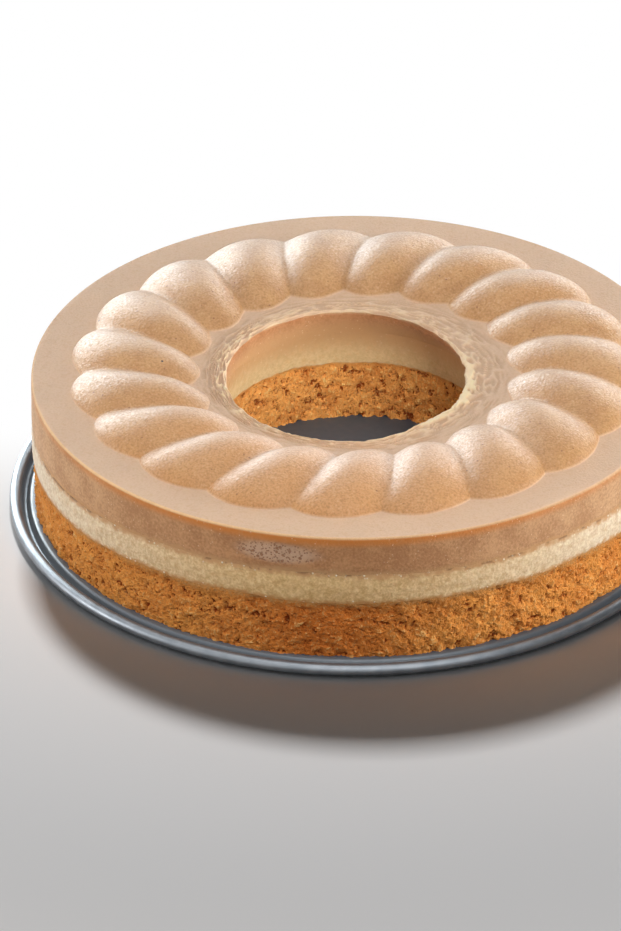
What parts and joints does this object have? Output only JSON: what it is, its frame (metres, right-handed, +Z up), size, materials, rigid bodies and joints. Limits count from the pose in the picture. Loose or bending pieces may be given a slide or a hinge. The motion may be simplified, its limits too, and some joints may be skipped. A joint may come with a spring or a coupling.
{
  "type": "baking pan base with ring cake",
  "caption": "Round coated-steel baking pan base with a gutter and a rolled rim, carrying a layered ring cake of crumb, cream and caramel with a fluted crown.",
  "frame": {"origin": "on the table, under the middle of the pan base", "axes": "+Z up along the axis of the pan, -Y towards the front of the picture, +X to its right"},
  "size_m": [0.279, 0.279, 0.0689],
  "materials": {
    "coated_steel": "satin",
    "steel_wire": "satin",
    "baked_crumb": "matte",
    "set_cream": "satin",
    "set_caramel": "satin"
  },
  "bodies": {
    "pan_base": {"base_plate": "coated_steel", "rim_wire": "steel_wire"},
    "cake": {"crumb_layer": "baked_crumb", "cream_layer": "set_cream", "caramel_crown": "set_caramel"}
  },
  "joints": [
    {"name": "cake_lift", "type": "slide", "parent": "pan_base", "child": "cake", "axis": [0, 0, 1], "range_m": [0, 0.12]}
  ]
}
